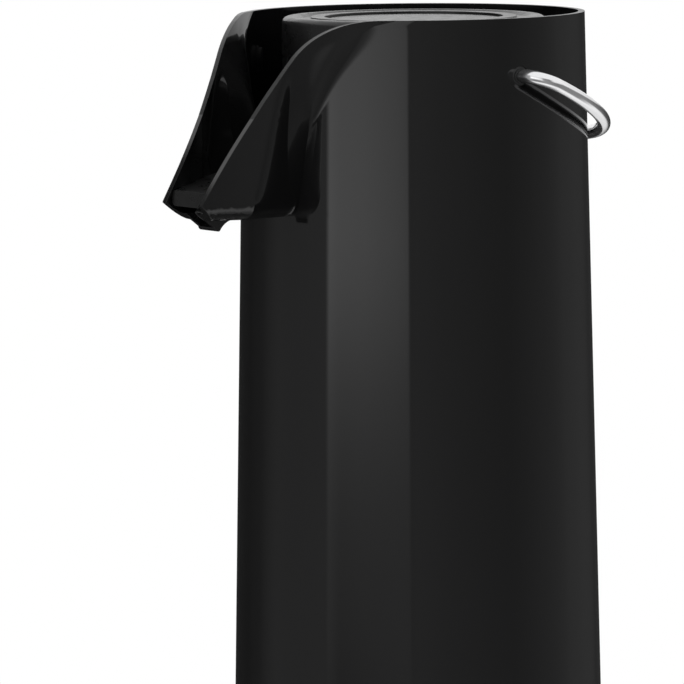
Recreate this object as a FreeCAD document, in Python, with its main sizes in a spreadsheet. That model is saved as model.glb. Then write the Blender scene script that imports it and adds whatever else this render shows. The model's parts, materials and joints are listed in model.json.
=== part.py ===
"""Pump thermal carafe: a conical shell with a beak, a glass liner, a lift-out pump head and a swinging bail.

Millimetres, +Z up. The origin is on the body's axis at the surface that the foot ring stands on. The beak
points along -Y and the bail's pivots lie along X. Pieces with a front are drawn with the front along their
own +X and turned to -Y by their Placement.
"""

import FreeCAD, Part
import math
import os
import re

import Sketcher

DIMS = {
    # shell and beak
    "body_height": 360,
    "rim_radius": 77,
    "body_flare": 7.6,
    "shell_wall": 2.8,
    "shell_lift": 2,
    "spout_length": 51.2,
    "tip_half_width": 15.3,
    "tip_drop": 79.7,
    "spout_slope": 57,
    "crest_radius": 36,
    "flare_angle": 47.8,
    "flare_sink": 0.05,
    "flare_pull": 57.9,
    "tip_pull": 16.7,
    "tip_toe": 7,
    "spout_wall": 3,
    "tip_depth": 7.5,
    "keel_radius": 9,
    "lip_back": 23.9,
    "lip_radius": 9.5,
    "lip_turn": 60,
    "lip_half_width": 6.5,
    "lip_wall": 2,
    "lip_nose": 0.8,
    "end_lean": 49.5,
    "ledge_width": 3,
    "ledge_height": 2.5,
    # deck, well and pour duct
    "floor_rise": 20.2,
    "deck_thickness": 2.2,
    "deck_gap": 0.3,
    "floor_crest_back": 4.4,
    "floor_crest_rise": 5.2,
    "lip_panel_back": 2.1,
    "lip_panel_drop": 1.3,
    "lip_panel_corner": 4,
    "well_depth": 35,
    "well_wall": 2,
    "well_floor_thickness": 2.5,
    "neck_hole_margin": 2,
    "duct_diameter": 8,
    "duct_wall": 1,
    "duct_gap": 0.4,
    "duct_turn": 50,
    "grommet_wall": 2,
    "grommet_length": 6,
    # glass liner and base
    "flask_share": 0.844,
    "glass_wall": 1.6,
    "vacuum_gap": 5,
    "neck_share": 0.631,
    "neck_fold": 6,
    "neck_height": 20,
    "lip_thickness": 2.5,
    "flask_corner": 24,
    "pad_radius": 5,
    "pad_margin": 16,
    "gasket_thickness": 6,
    "gasket_wall": 3.5,
    "gasket_skirt": 8,
    "cushion_height": 12,
    "cushion_wall": 8,
    "cushion_floor": 4,
    "cushion_rim": 3,
    "cushion_cup": 34,
    "base_height": 22,
    "base_wall": 2.5,
    "base_floor": 3,
    "foot_height": 5,
    "foot_width": 8,
    "foot_inset": 8.6,
    "foot_edge": 1,
    "turning_bar_width": 12,
    # pump head
    "head_share": 0.7727,
    "head_recess": 1.6,
    "head_wall": 2.5,
    "head_edge": 3,
    "head_clearance": 0.5,
    "seat_gap": 0.3,
    "fit_gap": 0.15,
    "dish_rim": 3,
    "dish_run": 2.5,
    "dish_depth": 1.2,
    "bezel_width": 6.2,
    "bezel_height": 1,
    "bezel_edge": 0.4,
    "sleeve_wall": 2.2,
    "sleeve_depth": 40,
    "plate_rise": 24.5,
    "plate_thickness": 2.5,
    "plate_ledge": 3,
    "base_disc": 2.5,
    "base_rim": 2.5,
    "plug_gap": 5,
    "plug_wall": 2.5,
    "plug_depth": 23,
    "air_hole_radius": 3,
    "seal_height": 6,
    "seal_lip": 1.2,
    "seal_clearance": 0.3,
    "riser_diameter": 8,
    "riser_wall": 1,
    "riser_foot_gap": 8,
    "elbow_wall": 1.5,
    "elbow_bend": 11,
    "elbow_inset": 0.3,
    "post_radius": 4,
    "post_margin": 10.85,
    "screw_radius": 1.6,
    "screw_head_radius": 3.2,
    "screw_head_height": 1.6,
    "screw_length": 14,
    "valve_offset": 12,
    "valve_radius": 6.5,
    "valve_thickness": 1.1,
    "valve_stem_radius": 2.2,
    "bellows_margin": 2.5,
    "bellows_fold": 7,
    "bellows_wall": 1,
    "bellows_collar": 1.5,
    "bellows_folds": 6,
    "spring_share": 0.54,
    "spring_wire": 2,
    "spring_turns": 6,
    "spring_gap": 0.3,
    # push button
    "button_share": 0.664,
    "button_gap": 0.8,
    "button_recess": 1,
    "button_crown": 620,
    "button_edge": 1.2,
    "button_wall": 2,
    "button_skirt": 25,
    "pressure_plate_thickness": 2.5,
    "pressure_plate_inset": 0.5,
    # bail
    "pivot_drop": 25.5,
    "wire_diameter": 6.2,
    "pivot_clearance": 0.1,
    "bush_wall": 1.2,
    "bush_flange": 1.8,
    "bush_flange_thickness": 2,
    "bush_seat": 0.5,
    "bush_recess": 0.4,
    "bail_droop": 22,
    "bail_rest_gap": 0.4,
    "bail_stand": 15,
    "bail_bend": 9,
    "stop_wall": 2.4,
    "stop_thickness": 3,
    "stop_cover": 1,
}

LAYOUT = {
    "foot_radius": "rim_radius + body_flare",
    "taper": "(foot_radius - rim_radius) / body_height",
    # beak
    "tip_reach": "rim_radius + spout_length",
    "tip_z": "body_height - tip_drop",
    "slope_start": "tip_reach - tip_drop / tan(spout_slope)",
    "crest_run": "crest_radius * tan(spout_slope / 2)",
    "underside": "tip_z - tip_depth",
    "channel_floor": "underside + spout_wall",
    "lip_root": "tip_reach - lip_back",
    "lip_centre_z": "underside - lip_radius",
    "lip_inner_radius": "lip_radius + spout_wall",
    "lip_nose_radius": "(spout_wall ^ 2 / 4 + lip_nose ^ 2) / (2 * lip_nose)",
    # deck, well and duct
    "deck_top": "channel_floor + floor_rise",
    "deck_under": "deck_top - deck_thickness",
    "well_floor": "deck_top - well_depth",
    "well_under": "well_floor - well_floor_thickness",
    "head_radius": "rim_radius * head_share",
    "well_radius": "head_radius + head_clearance",
    "well_outer": "well_radius + well_wall",
    "duct_radius": "duct_diameter / 2",
    "port_z": "channel_floor + duct_gap + duct_radius",
    "grommet_radius": "duct_radius + grommet_wall",
    # liner and base
    "liner_lip": "well_under - gasket_thickness",
    "lip_under": "liner_lip - lip_thickness",
    "flask_radius": "rim_radius * flask_share",
    "neck_radius": "flask_radius * neck_share",
    "neck_bore_radius": "neck_radius - neck_fold",
    "neck_hole_radius": "neck_bore_radius + neck_hole_margin",
    "pad_circle": "flask_radius - flask_corner - pad_margin",
    "shoulder_radius": "flask_radius - neck_radius",
    "shoulder_z": "lip_under - neck_height - shoulder_radius",
    "foot_outer_radius": "foot_radius - foot_inset",
    "base_floor_top": "foot_height + base_floor",
    "flask_bottom": "base_floor_top + cushion_height",
    "inner_radius": "flask_radius - glass_wall - vacuum_gap",
    "inner_neck": "neck_bore_radius + glass_wall",
    "inner_bottom": "flask_bottom + glass_wall + vacuum_gap",
    "inner_corner": "flask_corner - vacuum_gap",
    "inner_shoulder": "inner_radius - inner_neck",
    "inner_shoulder_z": "shoulder_z - vacuum_gap",
    # pump head
    "head_top": "body_height - head_recess",
    "head_bottom": "well_floor + seat_gap",
    "head_bore": "head_radius - head_wall",
    "band_z": "head_top - dish_depth",
    "base_radius": "head_bore - fit_gap",
    "post_circle": "base_radius - post_margin",
    "plug_radius": "neck_bore_radius - plug_gap",
    "plate_under": "head_bottom + plate_rise",
    "plate_top": "plate_under + plate_thickness",
    "plug_bottom": "head_bottom - plug_depth",
    "riser_radius": "riser_diameter / 2",
    "air_hole_circle": "(riser_radius + plug_radius - plug_wall) / 2",
    "elbow_radius": "riser_radius - riser_wall + elbow_wall",
    "button_radius": "head_radius * button_share",
    "guide_radius": "button_radius + button_gap",
    "bezel_radius": "guide_radius + bezel_width",
    # button
    "button_top": "head_top - button_recess",
    "button_rim_z": "button_top - button_crown + sqrt(button_crown ^ 2 - (button_radius - button_edge) ^ 2)",
    "skirt_bottom": "button_top - button_skirt",
    "pressure_under": "skirt_bottom - pressure_plate_thickness",
    "bellows_radius": "button_radius - bellows_margin",
    "spring_radius": "bellows_radius * spring_share",
    "fold_pitch": "(pressure_under - plate_top - 2 * bellows_collar) / bellows_folds",
    # bail
    "pivot_z": "body_height - pivot_drop",
    "pivot_outer": "foot_radius - taper * pivot_z",
    "pivot_inner": "pivot_outer - shell_wall",
    "wire_radius": "wire_diameter / 2",
    "bush_bore": "wire_radius + pivot_clearance",
    "bush_radius": "bush_bore + bush_wall",
    "flange_in": "pivot_inner - bush_seat - bush_flange_thickness",
    "stop_out": "flange_in - pivot_clearance",
    "stop_in": "stop_out - stop_thickness",
    "bail_end": "stop_in + stop_cover",
    "bail_apex": "(pivot_outer + wire_radius + bail_rest_gap) / (cos(bail_droop) - taper * sin(bail_droop))",
    "bail_radius": "pivot_outer + bail_stand",
    "bail_centre": "bail_apex - bail_radius",
    "bail_leg": "sqrt((bail_radius - bail_bend) ^ 2 - (bail_bend - bail_centre) ^ 2)",
    "bail_turn_x": "bail_leg * bail_radius / (bail_radius - bail_bend)",
    "bail_turn_y": "bail_centre + (bail_bend - bail_centre) * bail_radius / (bail_radius - bail_bend)",
}

TINY = 1e-9
NEAR = 0.01
# how far a cut runs past what it cuts
OVER = "20"
ALL_ROUND = "4 * foot_radius"
# where what comes in threes stands, in degrees round Z
THIRDS = (60, 180, 300)
POINTS_PER_TURN = 48
FRONT = FreeCAD.Rotation(FreeCAD.Vector(0, 0, 1), -90)

doc = FreeCAD.newDocument("pump_carafe")


def make_sheets():
    """The driving dimensions, and a second sheet with the places that follow from them."""
    dims = doc.addObject("Spreadsheet::Sheet", "dims")
    for row, (name, size) in enumerate(DIMS.items(), 1):
        dims.set("A%d" % row, name)
        dims.set("B%d" % row, str(size))
        dims.setAlias("B%d" % row, name)
    doc.recompute()
    layout = doc.addObject("Spreadsheet::Sheet", "layout")
    for row, name in enumerate(LAYOUT, 1):
        layout.setAlias("B%d" % row, name)
    for row, (name, formula) in enumerate(LAYOUT.items(), 1):
        layout.set("A%d" % row, name)
        layout.set("B%d" % row, "=" + bind(formula, inside="layout"))
    doc.recompute()
    return layout


def bind(formula, inside=None):
    """A formula with the name of the right sheet in front of each dimension."""
    def place(match):
        word = match.group(0)
        for sheet, names in (("dims", DIMS), ("layout", LAYOUT)):
            if word in names and sheet != inside:
                return sheet + "." + word
        return word
    return re.sub(r"[a-z][a-z_]+", place, formula)


def value(formula):
    """What a formula gives with the sizes in the sheets."""
    result = layout.evalExpression(bind(formula))
    return float(getattr(result, "Value", result))


def bind_to(target, prop, formula):
    target.setExpression(prop, bind(formula))


def radius_at(height, inset="0"):
    """The shell's outer radius at a height, less an inset."""
    return "foot_radius - taper * (%s) - (%s)" % (height, inset)


def pin(sketch, geometry, position, x, y):
    """Ties a point of a sketch to the sheets."""
    for kind, axis, formula in (("DistanceX", -2, x), ("DistanceY", -1, y)):
        size = value(formula)
        if abs(size) < TINY:
            sketch.addConstraint(Sketcher.Constraint("PointOnObject", geometry, position, axis))
            continue
        if size > 0:
            tie = sketch.addConstraint(Sketcher.Constraint(kind, -1, 1, geometry, position, size))
            bind_to(sketch, "Constraints[%d]" % tie, formula)
        else:
            tie = sketch.addConstraint(Sketcher.Constraint(kind, geometry, position, -1, 1, -size))
            bind_to(sketch, "Constraints[%d]" % tie, "-(%s)" % formula)


def add_line(sketch, start, end, _):
    return sketch.addGeometry(Part.LineSegment(start, end)), 1, 2


def add_arc(sketch, start, end, edge):
    """An arc of under a half circle, bending to the left of start to end, or to the right."""
    _, radius, side = edge
    size = value(radius)
    half = (end - start) * 0.5
    across = FreeCAD.Vector(-half.y, half.x, 0).normalize() * (1 if side == "left" else -1)
    centre = start + half + across * math.sqrt(max(size ** 2 - half.Length ** 2, 0))
    first, last = (start, end) if side == "left" else (end, start)
    angles = [math.atan2(spot.y - centre.y, spot.x - centre.x) for spot in (first, last)]
    circle = Part.Circle(centre, FreeCAD.Vector(0, 0, 1), size)
    arc = sketch.addGeometry(Part.ArcOfCircle(circle, *angles))
    tie = sketch.addConstraint(Sketcher.Constraint("Radius", arc, size))
    bind_to(sketch, "Constraints[%d]" % tie, radius)
    return (arc, 1, 2) if side == "left" else (arc, 2, 1)


def add_curve(sketch, start, end, edge):
    """A cubic curve with two handles."""
    handles = edge[1:]
    poles = [start, *(FreeCAD.Vector(value(x), value(y)) for x, y in handles), end]
    spline = Part.BSplineCurve()
    spline.buildFromPolesMultsKnots(poles, [4, 4], [0, 1], False, 3)
    curve = sketch.addGeometry(spline)
    sketch.exposeInternalGeometry(curve)
    for offset, (x, y) in enumerate(handles, 2):
        pin(sketch, curve + offset, 3, x, y)
    return curve, 1, 2


EDGE_KINDS = {"line": add_line, "arc": add_arc, "curve": add_curve}


def draw(sketch, corners, closed=True):
    """A path through corners (x, y) or (x, y, edge to the next), with each corner tied to the sheets."""
    spots = [FreeCAD.Vector(value(corner[0]), value(corner[1])) for corner in corners]
    edges = []
    for index, corner in enumerate(corners if closed else corners[:-1]):
        edge = corner[2] if len(corner) > 2 else ("line",)
        ends = spots[index], spots[(index + 1) % len(corners)]
        edges.append(EDGE_KINDS[edge[0]](sketch, *ends, edge))
    for index, (geometry, first, _) in enumerate(edges):
        if closed or index:
            before, _, last = edges[index - 1]
            sketch.addConstraint(Sketcher.Constraint("Coincident", before, last, geometry, first))
        pin(sketch, geometry, first, *corners[index][:2])
    if not closed:
        geometry, _, last = edges[-1]
        pin(sketch, geometry, last, *corners[-1][:2])


def draw_circle(sketch, x, y, radius):
    centre = FreeCAD.Vector(value(x), value(y))
    circle = sketch.addGeometry(Part.Circle(centre, FreeCAD.Vector(0, 0, 1), value(radius)))
    tie = sketch.addConstraint(Sketcher.Constraint("Radius", circle, value(radius)))
    bind_to(sketch, "Constraints[%d]" % tie, radius)
    pin(sketch, circle, 3, x, y)


def new_body(label, rotation=None):
    body = doc.addObject("PartDesign::Body", label)
    if rotation:
        body.Placement = FreeCAD.Placement(FreeCAD.Vector(), rotation)
    return body


def new_sketch(body, name, plane, lift=None):
    """A sketch on one of the body's own origin planes, moved along the plane's normal by lift."""
    sketch = body.newObject("Sketcher::SketchObject", body.Label + "_" + name)
    origin = next(item for item in body.Origin.OriginFeatures if item.Role == plane + "_Plane")
    sketch.AttachmentSupport = [(origin, "")]
    sketch.MapMode = "FlatFace"
    if lift:
        bind_to(sketch, "AttachmentOffset.Base.z", lift)
    return sketch


def feature(body, kind, name, profile):
    item = body.newObject("PartDesign::" + kind, body.Label + "_" + name)
    item.Profile = profile
    return item


def revolve(body, kind, name, corners):
    """A full turn of an outline about the body's Z axis."""
    sketch = new_sketch(body, name + "_profile", "XZ")
    draw(sketch, corners)
    item = feature(body, kind, name, sketch)
    item.ReferenceAxis = (sketch, ["V_Axis"])
    item.Angle = 360
    doc.recompute()
    return item


def through(body, kind, name, sketch, depth):
    """A pad or pocket to both sides of its sketch, with the whole depth given."""
    item = feature(body, kind, name, sketch)
    item.SideType = "Symmetric"
    bind_to(item, "Length", depth)
    doc.recompute()
    return item


def round_edges(body, name, radius, wanted):
    """A fillet on the edges of the body's tip that a test picks out."""
    tip = body.Tip
    names = ["Edge%d" % n for n, edge in enumerate(tip.Shape.Edges, 1) if wanted(edge)]
    item = body.newObject("PartDesign::Fillet", body.Label + "_" + name)
    item.Base = (tip, names)
    bind_to(item, "Radius", radius)
    doc.recompute()
    return item


def flare(height, inset, tip_inset):
    """Half of the beak's outline at a height: start, tangent to the body, two handles and end, at the tip."""
    round_r = "(%s)" % radius_at(height, inset)
    start = (round_r + " * cos(flare_angle)", round_r + " * sin(flare_angle)")
    first = (start[0] + " + flare_pull * sin(flare_angle)", start[1] + " - flare_pull * cos(flare_angle)")
    width = "(tip_half_width - (%s))" % tip_inset
    end = ("tip_reach", width)
    second = ("tip_reach - tip_pull * cos(tip_toe)", width + " + tip_pull * sin(tip_toe)")
    return start, first, second, end


def mirrored(point):
    return point[0], "-(%s)" % point[1]


def beak_outline(height, inset, tip_inset, past_tip=None):
    """The beak's outline at a height, closed by a chord that stays inside the body's round."""
    start, first, second, end = flare(height, inset + " + flare_sink", tip_inset)
    corners = [(*start, ("curve", first, second)), end]
    if past_tip:
        corners += [(past_tip, end[1]), mirrored((past_tip, end[1]))]
    corners.append((*mirrored(end), ("curve", mirrored(second), mirrored(first))))
    return corners + [mirrored(start)]


def beak_loft(body, kind, name, heights, insets, past_tip=None):
    """A ruled loft between the beak's outlines at two heights, inset from the body's round and at the tip."""
    sections = []
    for height in heights:
        section = new_sketch(body, "%s_outline_%d" % (name, len(sections)), "XY", height)
        draw(section, beak_outline(height, *insets, past_tip))
        sections.append(section)
    item = feature(body, kind, name, sections[0])
    item.Sections = sections[1:]
    item.Ruled = True
    doc.recompute()


def make_shell():
    """Cone and beak in one moulding: the beak is cut to its side view, joined to the cone and hollowed."""
    body = new_body("outer_shell", FRONT)
    beak_loft(body, "AdditiveLoft", "beak", ("underside", "body_height"), ("0", "0"))

    side = new_sketch(body, "beak_side", "XZ")
    end_low = "underside - " + OVER
    draw(side, [
        ("slope_start - crest_run", "body_height", ("arc", "crest_radius", "right")),
        ("slope_start + crest_run * cos(spout_slope)", "body_height - crest_run * sin(spout_slope)"),
        ("tip_reach", "tip_z"),
        (end_face_x(end_low), end_low),
        ("tip_reach + " + OVER, end_low),
        ("tip_reach + " + OVER, "body_height + " + OVER),
        ("slope_start - crest_run", "body_height + " + OVER),
    ])
    through(body, "Pocket", "beak_cut", side, ALL_ROUND)
    round_edges(body, "keel", "keel_radius", flares_at("underside"))

    lip = new_sketch(body, "lip_side", "XZ")
    draw(lip, [
        ("lip_root", "channel_floor"),
        ("lip_root", "underside", ("arc", "lip_radius", "right")),
        (*lip_point("lip_radius"), ("arc", "lip_nose_radius", "left")),
        lip_point("lip_inner_radius"),
        (end_face_x("underside"), "underside"),
        (end_face_x("channel_floor"), "channel_floor"),
    ])
    through(body, "Pad", "lip", lip, "2 * lip_half_width")

    revolve(body, "Revolution", "cone", [
        ("0", "shell_lift"),
        (radius_at("shell_lift"), "shell_lift"),
        ("rim_radius", "body_height"),
        ("0", "body_height"),
    ])

    heights = ("channel_floor", "body_height + " + OVER)
    insets = ("shell_wall", "spout_wall")
    beak_loft(body, "SubtractiveLoft", "channel", heights, insets, "tip_reach + " + OVER)
    round_edges(body, "channel_corner", "keel_radius - spout_wall", flares_at("channel_floor"))

    mouth = new_sketch(body, "mouth_side", "XZ")
    draw(mouth, [
        ("lip_root", "channel_floor", ("arc", "lip_inner_radius", "right")),
        lip_point("lip_inner_radius"),
        ("tip_reach + " + OVER, lip_point("lip_inner_radius")[1]),
        ("tip_reach + " + OVER, "channel_floor"),
    ])
    through(body, "Pocket", "mouth", mouth, "2 * (lip_half_width - lip_wall)")

    cavity = []
    for height, inset in shell_steps():
        cavity.append((radius_at(height, inset), height))
    revolve(body, "Groove", "cavity", [("0", "-" + OVER), *cavity, ("0", "body_height + " + OVER)])

    pivots = new_sketch(body, "pivots", "XZ")
    draw_circle(pivots, "0", "pivot_z", "bush_radius")
    through(body, "Pocket", "pivot_holes", pivots, ALL_ROUND)


def shell_steps():
    """Heights and insets up the inside of the shell, with ledges over the base cap and under the deck."""
    ledge = "shell_wall + ledge_width"
    cap_ledge_top = "base_height + ledge_height"
    deck_ledge_low = "deck_under - ledge_height"
    return [
        ("-" + OVER, "shell_wall"),
        ("base_height", "shell_wall"),
        ("base_height", ledge),
        (cap_ledge_top, ledge),
        (cap_ledge_top + " + ledge_width", "shell_wall"),
        (deck_ledge_low + " - ledge_width", "shell_wall"),
        (deck_ledge_low, ledge),
        ("deck_under", ledge),
        ("deck_under", "shell_wall"),
        ("body_height + " + OVER, "shell_wall"),
    ]


def end_face_x(height):
    """How far out the beak's slanted end face is at a height."""
    return "tip_reach - (tip_z - (%s)) * tan(end_lean)" % height


def lip_point(radius):
    """Where the drip lip ends, on one of its two arcs."""
    return "lip_root + %s * sin(lip_turn)" % radius, "lip_centre_z + %s * cos(lip_turn)" % radius


def flares_at(height):
    """A test that picks the beak's two long side edges at a height."""
    return lambda edge: level_at(edge, height) and min(edge.BoundBox.XLength, edge.BoundBox.YLength) > NEAR


def level_at(edge, height):
    """Whether an edge lies level at a height."""
    return edge.BoundBox.ZLength < NEAR and abs(edge.BoundBox.ZMin - value(height)) < NEAR


def make_deck():
    """Trench floor, beak floor and lip panel in one plate, with the well that the pump head stands in."""
    inset = "shell_wall + deck_gap"
    plan = new_body("deck_plan")
    plan_top = "deck_top + deck_thickness"
    beak_loft(plan, "AdditiveLoft", "slab", ("underside", plan_top), (inset, "spout_wall + deck_gap"))
    revolve(plan, "Revolution", "disc", [
        ("0", "underside"),
        (radius_at("underside", inset), "underside"),
        (radius_at(plan_top, inset), plan_top),
        ("0", plan_top),
    ])
    opening = new_sketch(plan, "opening", "XY", "deck_top")
    draw_circle(opening, "0", "0", "well_radius")
    through(plan, "Pocket", "well_opening", opening, "4 * floor_rise")

    side = new_body("deck_side")
    slope_x = "rim_radius - shell_wall"
    crest_x, crest_z = "tip_reach - floor_crest_back", "tip_z + floor_crest_rise"
    lip_x, lip_z = "tip_reach - lip_panel_back", "tip_z - lip_panel_drop"
    floor = new_sketch(side, "floor_side", "XZ")
    draw(floor, [
        ("-foot_radius", "deck_under"),
        (slope_x, "deck_under"),
        (crest_x + " - deck_thickness", crest_z + " - deck_thickness"),
        (lip_x + " - deck_thickness", lip_z),
        (lip_x, lip_z),
        (crest_x, crest_z),
        (slope_x, "deck_top"),
        ("-foot_radius", "deck_top"),
    ])
    through(side, "Pad", "floor", floor, "2 * foot_radius")
    corners = new_sketch(side, "corners", "YZ", lip_x)
    half = "tip_half_width - spout_wall - deck_gap"
    corner_z = lip_z + " + lip_panel_corner"
    for sign, turn in (("", "left"), ("-1 * ", "right")):
        draw(corners, [
            ("%s(%s - lip_panel_corner)" % (sign, half), lip_z, ("arc", "lip_panel_corner", turn)),
            ("%s(%s)" % (sign, half), corner_z),
            (sign + "foot_radius", corner_z),
            (sign + "foot_radius", "underside"),
            ("%s(%s - lip_panel_corner)" % (sign, half), "underside"),
        ])
    through(side, "Pocket", "lip_corners", corners, "4 * deck_thickness")

    well = new_body("deck_well")
    revolve(well, "Revolution", "wall", [
        ("neck_hole_radius", "well_under"),
        ("well_outer", "well_under"),
        ("well_outer", "deck_top"),
        ("well_radius", "deck_top"),
        ("well_radius", "well_floor"),
        ("neck_hole_radius", "well_floor"),
    ])
    front_hole(well, "port", "well_radius + well_wall / 2", "grommet_radius", "4 * well_wall")
    plate = combine("Part::Common", "deck_plate", plan, side)
    combine("Part::Fuse", "top_deck", plate, well).Placement.Rotation = FRONT


def combine(kind, label, base, tool):
    """A boolean of two objects, with seams between level faces taken out."""
    item = doc.addObject(kind, label)
    item.Label = label
    item.Base = base
    item.Tool = tool
    item.Refine = True
    doc.recompute()
    return item


def front_hole(body, name, x, radius, depth):
    """A round hole along X at the port's height, through the wall at x."""
    sketch = new_sketch(body, name + "_circle", "YZ", x)
    draw_circle(sketch, "0", "port_z", radius)
    through(body, "Pocket", name, sketch, depth)


def pipe(body, name, plane, path, end, outer, inner=None):
    """A round tube or bar along a path on a plane; end is (plane, lift, x, y) of the path's first end."""
    end_plane, lift, x, y = end
    spine = new_sketch(body, name + "_path", plane)
    draw(spine, path, closed=False)
    section = new_sketch(body, name + "_section", end_plane, lift)
    draw_circle(section, x, y, outer)
    if inner:
        draw_circle(section, x, y, inner)
    item = feature(body, "AdditivePipe", name, section)
    item.Spine = spine
    doc.recompute()


def make_duct():
    """The pour duct lies on the beak's floor and bends down with the lip; a grommet holds it in the well."""
    grommet = new_body("port_grommet", FRONT)
    ring = new_sketch(grommet, "ring", "YZ", "well_radius")
    draw_circle(ring, "0", "port_z", "grommet_radius")
    draw_circle(ring, "0", "port_z", "duct_radius")
    tube = feature(grommet, "Pad", "tube", ring)
    bind_to(tube, "Length", "grommet_length")

    body = new_body("pour_duct", FRONT)
    bend = "(lip_inner_radius + duct_gap + duct_radius)"
    start = "well_radius + well_wall"
    path = [
        (start, "port_z"),
        ("lip_root", "port_z", ("arc", bend, "right")),
        ("lip_root + %s * sin(duct_turn)" % bend, "lip_centre_z + %s * cos(duct_turn)" % bend),
    ]
    end = ("YZ", start, "0", "port_z")
    pipe(body, "tube", "XZ", path, end, "duct_radius", "duct_radius - duct_wall")


def turned(label, corners, rotation=None):
    """A piece that is one full turn of an outline."""
    body = new_body(label, rotation)
    revolve(body, "Revolution", "turn", corners)
    return body


def make_liner():
    """Two glass flasks, one in the other and joined at the lip, with spacer pads between their bottoms."""
    inside_shoulder = "shoulder_z + shoulder_radius - glass_wall"
    corner_z = "flask_bottom + flask_corner"
    turned("glass_outer_flask", [
        ("0", "flask_bottom"),
        ("flask_radius - flask_corner", "flask_bottom", ("arc", "flask_corner", "left")),
        ("flask_radius", corner_z),
        ("flask_radius", "shoulder_z", ("arc", "shoulder_radius", "left")),
        ("neck_radius", "shoulder_z + shoulder_radius"),
        ("neck_radius", "lip_under"),
        ("neck_radius - glass_wall", "lip_under"),
        ("neck_radius - glass_wall", inside_shoulder),
        ("neck_radius", inside_shoulder, ("arc", "shoulder_radius - glass_wall", "right")),
        ("flask_radius - glass_wall", "shoulder_z"),
        ("flask_radius - glass_wall", corner_z, ("arc", "flask_corner - glass_wall", "right")),
        ("flask_radius - flask_corner", "flask_bottom + glass_wall"),
        ("0", "flask_bottom + glass_wall"),
    ])
    inside_shoulder = "inner_shoulder_z + inner_shoulder - glass_wall"
    corner_z = "inner_bottom + inner_corner"
    turned("glass_inner_flask", [
        ("0", "inner_bottom"),
        ("inner_radius - inner_corner", "inner_bottom", ("arc", "inner_corner", "left")),
        ("inner_radius", corner_z),
        ("inner_radius", "inner_shoulder_z", ("arc", "inner_shoulder", "left")),
        ("inner_neck", "inner_shoulder_z + inner_shoulder"),
        ("inner_neck", "lip_under"),
        ("neck_radius", "lip_under"),
        ("neck_radius", "liner_lip"),
        ("neck_bore_radius", "liner_lip"),
        ("neck_bore_radius", inside_shoulder),
        ("inner_neck", inside_shoulder, ("arc", "inner_shoulder - glass_wall", "right")),
        ("inner_radius - glass_wall", "inner_shoulder_z"),
        ("inner_radius - glass_wall", corner_z, ("arc", "inner_corner - glass_wall", "right")),
        ("inner_radius - inner_corner", "inner_bottom + glass_wall"),
        ("0", "inner_bottom + glass_wall"),
    ])
    pads = new_body("liner_pads")
    discs = new_sketch(pads, "discs", "XY", "flask_bottom + glass_wall")
    for x, y in around("pad_circle"):
        draw_circle(discs, x, y, "pad_radius")
    bind_to(feature(pads, "Pad", "pads", discs), "Length", "vacuum_gap")

    gasket_outer = "neck_radius + gasket_wall"
    turned("neck_gasket", [
        ("neck_hole_radius", "liner_lip"),
        ("neck_radius + fit_gap", "liner_lip"),
        ("neck_radius + fit_gap", "liner_lip - gasket_skirt"),
        (gasket_outer, "liner_lip - gasket_skirt"),
        (gasket_outer, "well_under"),
        ("neck_hole_radius", "well_under"),
    ])
    cup = "flask_radius + fit_gap"
    seat = "flask_radius - flask_corner"
    turned("base_cushion", [
        (seat + " - cushion_wall", "base_floor_top"),
        (cup + " + cushion_rim", "base_floor_top"),
        (cup + " + cushion_rim", "flask_bottom + cushion_cup"),
        (cup, "flask_bottom + cushion_cup"),
        (cup, "base_floor_top + cushion_floor"),
        (seat, "base_floor_top + cushion_floor"),
        (seat, "flask_bottom"),
        (seat + " - cushion_wall", "flask_bottom"),
    ])


def make_base():
    """A cap closes the shell from below, under the shell's ledge, and carries the rubber foot ring."""
    inset = "shell_wall + fit_gap"
    wall = inset + " + base_wall"
    foot_inner = "foot_outer_radius - foot_width"
    body = turned("base_cap", [
        ("0", "foot_height"),
        (foot_inner + " - base_wall", "foot_height"),
        (foot_inner + " - base_wall", "shell_lift"),
        (foot_inner, "shell_lift"),
        (foot_inner, "foot_height"),
        ("foot_outer_radius", "foot_height"),
        ("foot_outer_radius", "shell_lift"),
        (radius_at("shell_lift", inset), "shell_lift"),
        (radius_at("base_height", inset), "base_height"),
        (radius_at("base_height", wall), "base_height"),
        (radius_at("base_floor_top", wall), "base_floor_top"),
        ("0", "base_floor_top"),
    ])
    reach = foot_inner + " - base_wall - turning_bar_width"
    half = "turning_bar_width / 2"
    bar = new_sketch(body, "bar", "XY", "shell_lift")
    draw(bar, [(reach, half), ("-(%s)" % reach, half), ("-(%s)" % reach, "-" + half), (reach, "-" + half)])
    bind_to(feature(body, "Pad", "turning_bar", bar), "Length", "foot_height - shell_lift")
    turned("foot_ring", [
        (foot_inner + " + foot_edge", "0"),
        ("foot_outer_radius - foot_edge", "0", ("arc", "foot_edge", "left")),
        ("foot_outer_radius", "foot_edge"),
        ("foot_outer_radius", "foot_height"),
        (foot_inner, "foot_height"),
        (foot_inner, "foot_edge", ("arc", "foot_edge", "left")),
    ])


def around(circle):
    """Three centres on a circle about Z."""
    return [("%s * cos(%d)" % (circle, angle), "%s * sin(%d)" % (circle, angle)) for angle in THIRDS]


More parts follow.
